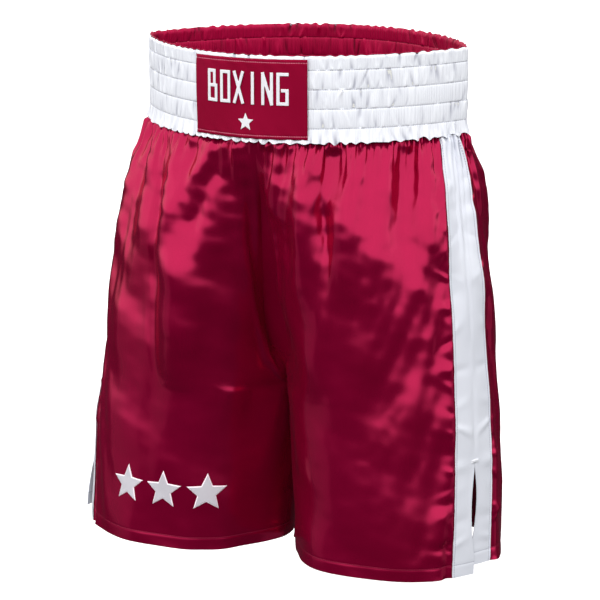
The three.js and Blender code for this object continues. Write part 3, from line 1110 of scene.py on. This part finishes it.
patch_nodes = material_nodes("patch_twill")
patch_x, patch_z, patch_edge = patch_nodes.attribute("cloth")
diagonal = patch_nodes.math("ADD", patch_x, patch_z)
twill = patch_nodes.math("FRACT", patch_nodes.math("DIVIDE", diagonal, 0.7 * MM))
worn = patch_nodes.noise(14.0, 4.0)
patch_tone = patch_nodes.math("MULTIPLY_ADD", worn, 0.8, patch_nodes.math("MULTIPLY", twill, 0.25))
patch_colour = patch_nodes.mix_colour(patch_tone, (0.18, 0.001, 0.016, 1), (0.28, 0.004, 0.032, 1))
patch_seam = patch_nodes.stitches(patch_edge, PATCH_SEAM, patch_x, STITCH_PITCH)
patch_colour = patch_nodes.mix_colour(patch_seam, patch_colour, (0.62, 0.16, 0.24, 1))
patch_relief = patch_nodes.math("MULTIPLY_ADD", twill, 0.3, patch_seam)
TWILL_LOOK = {"Roughness": 0.5, "Specular IOR Level": 0.05, "Specular Tint": (1, 0.2, 0.3, 1)}
twill_cloth = patch_nodes.finish(patch_colour, patch_relief, 0.3, 0.3 * MM, TWILL_LOOK)
marks = {"cloth": vectors(patch_across * PATCH_WIDTH, patch_depths, from_end)}
patch = sheet_mesh("patch_cloth", patch_surface, marks, flip=True)
finish_piece(patch, twill_cloth, "patch_cloth", "waist_patch")

THREAD_LOOK = {
    "Roughness": 0.45,
    "Specular IOR Level": 0.4,
    "Sheen Weight": 0.2,
    "Sheen Roughness": 0.4,
}
STAR_BORDER = 1.6 * MM


def thread_material(name, colour, rim_colour=None):
    """Satin-stitch embroidery: close parallel threads with painted shade between them, and perhaps a border
    of another colour.
    """
    nodes = material_nodes(name)
    position = nodes.add("ShaderNodeNewGeometry").outputs["Position"]
    x, _, z = nodes.add("ShaderNodeSeparateXYZ", Vector=position).outputs
    lines = nodes.math("FRACT", nodes.math("DIVIDE", nodes.math("MULTIPLY_ADD", x, 0.35, z), 0.5 * MM))
    rounded_line = nodes.math("PINGPONG", lines, 0.5)
    # The colour follows the thread relief, which gives painted shade between the threads, plus random tone.
    tone = nodes.math("MULTIPLY_ADD", rounded_line, 0.5, nodes.math("MULTIPLY", nodes.noise(90.0), 0.5))
    shaded_thread_colour = tuple(0.82 * c for c in colour)
    base = nodes.mix_colour(tone, (*shaded_thread_colour, 1), (*colour, 1))
    if rim_colour:
        rim = nodes.math("LESS_THAN", nodes.attribute("cloth")[2], STAR_BORDER)
        base = nodes.mix_colour(rim, base, (*rim_colour, 1))
    return nodes.finish(base, rounded_line, 0.5, 0.2 * MM, THREAD_LOOK)


white_thread = thread_material("white_thread", (0.86, 0.86, 0.90))
star_thread = thread_material("star_thread", (0.62, 0.60, 0.65), (0.92, 0.82, 0.88))
tack_thread = thread_material("tack_thread", (0.80, 0.81, 0.86))


def embroider(node):
    """Turn a CAD plate on the patch into rounded embroidery, laid against the patch."""
    source = bpy.data.objects[node]
    copy = link(f"{node}_stitched", source.data.copy())
    copy.data.materials.clear()
    remesh = copy.modifiers.new("threads", "REMESH")
    remesh.mode = "VOXEL"
    remesh.voxel_size = 0.4 * MM
    rounding = copy.modifiers.new("rounding", "SMOOTH")
    rounding.factor = 0.5
    rounding.iterations = 4
    evaluated = copy.evaluated_get(bpy.context.evaluated_depsgraph_get())
    mesh = bpy.data.meshes.new_from_object(evaluated)
    copy.modifiers.clear()
    copy.data = mesh
    shade_smooth(mesh)
    mesh.transform(Matrix.Translation((0, 0.25 * MM, 0)))
    finish_piece(copy, white_thread, "embroidery", node)


for node in [f"patch_letter_{letter}" for letter in "boxing"] + ["patch_star"]:
    embroider(node)

LEG_STARS = {"outer": -1, "middle": 0, "inner": 1}
STAR_RADIUS = 25 * MM
STAR_WAIST = 0.45
STAR_PITCH = 54 * MM
STAR_DEPTH = 537 * MM
STAR_ANGLE = 1.72
STAR_RINGS = 16
STAR_EDGE = 14  # points along each edge of the star


def star_outline():
    numbered = np.arange(10)
    reach = STAR_RADIUS * np.where(numbered % 2, STAR_WAIST, 1)
    angle = math.pi / 2 - numbered * math.pi / 5
    corners = vectors(reach * np.cos(angle), reach * np.sin(angle))
    following = np.roll(corners, -1, axis=0)
    shares = np.linspace(0, 1, STAR_EDGE, endpoint=False)[None, :, None]
    return mix(corners[:, None], following[:, None], shares).reshape(-1, 2)


def star_piece(name, place):
    """An embroidered star on the leg: a plump top over the cloth and a flat back just inside it."""
    cloth = cloths["right", "front"]
    outline = star_outline()
    rings = np.linspace(1, 0, STAR_RINGS, endpoint=False)
    x, y = (np.append(np.outer(rings, places), 0) for places in outline.T)
    count = len(x)
    inside = np.append(np.repeat(1 - rings, len(outline)), 1.0)
    from_rim = inside * STAR_RADIUS * 0.55
    top_lift = 0.1 * MM + 0.9 * MM * np.sqrt(clamp01(from_rim / STAR_BORDER))
    middle = STAR_ANGLE + side_angle(place * STAR_PITCH, STAR_DEPTH)
    angle = middle + x / section(STAR_DEPTH)[2]
    depth = STAR_DEPTH - y
    top = cloth.sample(angle, depth, top_lift)
    bottom = cloth.sample(angle, depth, np.full(count, -0.2 * MM))
    columns = len(outline)
    ring = np.arange(count - 1).reshape(STAR_RINGS, columns)
    ring = np.concatenate([ring, ring[:, :1]], axis=1)
    faces = grid_faces(ring, True).tolist() + grid_faces(ring + count, False).tolist()
    ring = ring.tolist()
    tip = count - 1
    for a, b in zip(ring[-1][:-1], ring[-1][1:]):
        faces += [(a, b, tip), (b + count, a + count, tip + count)]
    for a, b in zip(ring[0][:-1], ring[0][1:]):
        faces.append((b, a, a + count, b + count))
    mesh = new_mesh(name, np.concatenate([top, bottom]), faces)
    shade_smooth(mesh)
    give_vectors(mesh, "cloth", np.tile(vectors(x, y, from_rim), (2, 1)))
    mesh.update()
    return link(name, mesh)


for place, offset in LEG_STARS.items():
    star = star_piece(f"leg_star_{place}_stitched", offset)
    finish_piece(star, star_thread, "embroidery", f"leg_star_{place}")

BARTACK_LENGTH, BARTACK_HEIGHT, BARTACK_DEPTH = 12 * MM, 4 * MM, 475 * MM


def bartack(side):
    """Dense zigzag stitches across the side seam at the top of the slit."""
    front, back = cloths[side, "front"], cloths[side, "back"]
    row = int(np.argmin(np.abs(front.depth[:, 0] - BARTACK_DEPTH)))
    middle = front.surface[row, 0]
    beside = unit(front.surface[row, 8] - back.surface[row, 8])
    below = unit(front.surface[row + 3, 0] - front.surface[row - 3, 0])
    out = unit(front.normal[row, 0] + back.normal[row, 0])
    u = np.linspace(-1, 1, 61)[None, :]
    v = np.linspace(-1, 1, 15)[:, None]
    threads = 0.25 * MM * np.abs(np.sin(14 * np.pi * u + 1.2 * v))
    crown = np.sqrt(clamp01(1.02 - np.maximum(np.abs(u), np.abs(v)) ** 6))
    crown = (STRIPE_LIFT + 0.9 * MM) * crown + threads
    u, v = u * BARTACK_LENGTH / 2, v * BARTACK_HEIGHT / 2
    points = middle + u[..., None] * beside + v[..., None] * below + crown[..., None] * out
    marks = {"cloth": vectors(u, v, 0.0)}
    name = f"{side}_slit_bartack_stitched"
    return sheet_mesh(name, points, marks, front.flip, thickness=0.5 * MM)


for side in SIDES:
    finish_piece(bartack(side), tack_thread, "embroidery", f"{side}_slit_bartack")

# ---------------------------------------------------------------- the hidden elastic
elastic_nodes = material_nodes("ribbed_elastic")
elastic_position = elastic_nodes.add("ShaderNodeNewGeometry").outputs["Position"]
_, _, elastic_z = elastic_nodes.add("ShaderNodeSeparateXYZ", Vector=elastic_position).outputs
rib = elastic_nodes.math("PINGPONG", elastic_z, 1.0 * MM)
rib_height_and_shade = elastic_nodes.math("MULTIPLY", rib, 1 / MM)
# Painted shade: the ribs are lighter on their crests and darker in their grooves.
elastic_colour = elastic_nodes.mix_colour(rib_height_and_shade, (0.62, 0.62, 0.58, 1), (0.80, 0.80, 0.77, 1))
ELASTIC_LOOK = {"Roughness": 0.8, "Sheen Weight": 0.1}
elastic = elastic_nodes.finish(elastic_colour, rib_height_and_shade, 0.5, 0.4 * MM, ELASTIC_LOOK)
for place in ("upper", "middle", "lower"):
    band = bpy.data.objects[f"elastic_{place}"]
    for material_slot in band.material_slots:
        material_slot.material = elastic

# ---------------------------------------------------------------- light, floor and camera


LIGHTS_AIM_AT = Vector((0, 0, -0.25))


def area_light(name, place, size, radiance):
    """A soft box of the given radiance, turned towards the garment."""
    light = bpy.data.lights.new(name, "AREA")
    light.shape = "RECTANGLE"
    light.size, light.size_y = size
    light.energy = radiance * math.pi * size[0] * size[1]
    lamp = link(name, light)
    lamp.location = place
    lamp.rotation_euler = (LIGHTS_AIM_AT - place).to_track_quat("-Z", "Y").to_euler()
    return lamp


def around(azimuth, distance, height):
    """A place at an azimuth from the front, positive towards the wearer's left."""
    angle = math.radians(azimuth)
    return Vector((distance * math.sin(angle), -distance * math.cos(angle), height))


FLOOR_DROP = 0.16
FLOOR_REACH = 30.0
corners = FLOOR_REACH * np.array([(-1, -1, 0), (1, -1, 0), (1, 1, 0), (-1, 1, 0)])
corners[:, 2] = cad_box[0][2] - FLOOR_DROP
floor = link("floor", new_mesh("floor", corners, [(0, 1, 2, 3)]))
floor.visible_glossy = False
floor.visible_diffuse = False
floor_nodes = material_nodes("pale_floor")
floor_nodes.put(floor_nodes.shader.inputs["Base Color"], (0.95, 0.95, 0.95, 1))
floor_nodes.put(floor_nodes.shader.inputs["Roughness"], 0.9)
floor.data.materials.append(floor_nodes.owner)

DOME = {"From Min": -0.11, "From Max": 0.2, "To Min": 0.04, "To Max": 1.8}
DOME_TILT = -0.25  # the dome starts higher up behind the garment
world = bpy.data.worlds.new("studio")
bpy.context.scene.world = world
sky = Nodes(world, "Background")
direction = sky.add("ShaderNodeTexCoord").outputs["Generated"]
_, rearward, upward = sky.add("ShaderNodeSeparateXYZ", Vector=direction).outputs
behind = sky.math("MAXIMUM", rearward, 0)
height = sky.math("MULTIPLY_ADD", behind, DOME_TILT, upward)
dome = sky.add("ShaderNodeMapRange", {"interpolation_type": "SMOOTHSTEP"}, Value=height)
for socket, value in DOME.items():
    sky.put(dome.inputs[socket], value)
seen = sky.add("ShaderNodeLightPath").outputs["Is Camera Ray"]
# The camera sees plain white past the floor.
strength = sky.add("ShaderNodeMix", Factor=seen, A=dome.outputs["Result"], B=1.0)
sky.put(sky.shader.inputs["Color"], (1, 1, 1, 1))
sky.put(sky.shader.inputs["Strength"], strength.outputs["Result"])

key = area_light("key", around(4, 2.6, 1.5), (2.0, 1.6), 3.3)
key.visible_glossy = False  # the dome alone shapes the highlights on the satin
area_light("left_wing", around(-62, 2.2, -0.2), (1.4, 2.2), 0.2)
area_light("right_wing", around(112, 2.2, -0.2), (1.4, 2.2), 0.25)
area_light("back", around(205, 2.6, 1.2), (1.8, 1.0), 0.8)

CAMERA_AZIMUTH = 28.0
CAMERA_DISTANCE = 2.793
CAMERA_HEIGHT = 0.2416
CAMERA_PITCH = math.radians(11.34)
SENSOR = 36
PHOTO_WIDTH = 600  # pixels, as are the next two
FOCAL_LENGTH = 2323.8
SHIFT = -3.3

camera_data = bpy.data.cameras.new("camera")
camera_data.sensor_width = SENSOR
camera_data.lens = SENSOR * (FOCAL_LENGTH / PHOTO_WIDTH)
camera_data.clip_end = 100
camera_data.shift_x = SHIFT / PHOTO_WIDTH
camera = link("camera", camera_data)
camera.location = around(CAMERA_AZIMUTH, CAMERA_DISTANCE, CAMERA_HEIGHT)
camera.rotation_euler = (math.pi / 2 - CAMERA_PITCH, 0, math.radians(CAMERA_AZIMUTH))
bpy.context.scene.camera = camera
bpy.context.scene.view_settings.view_transform = "Standard"
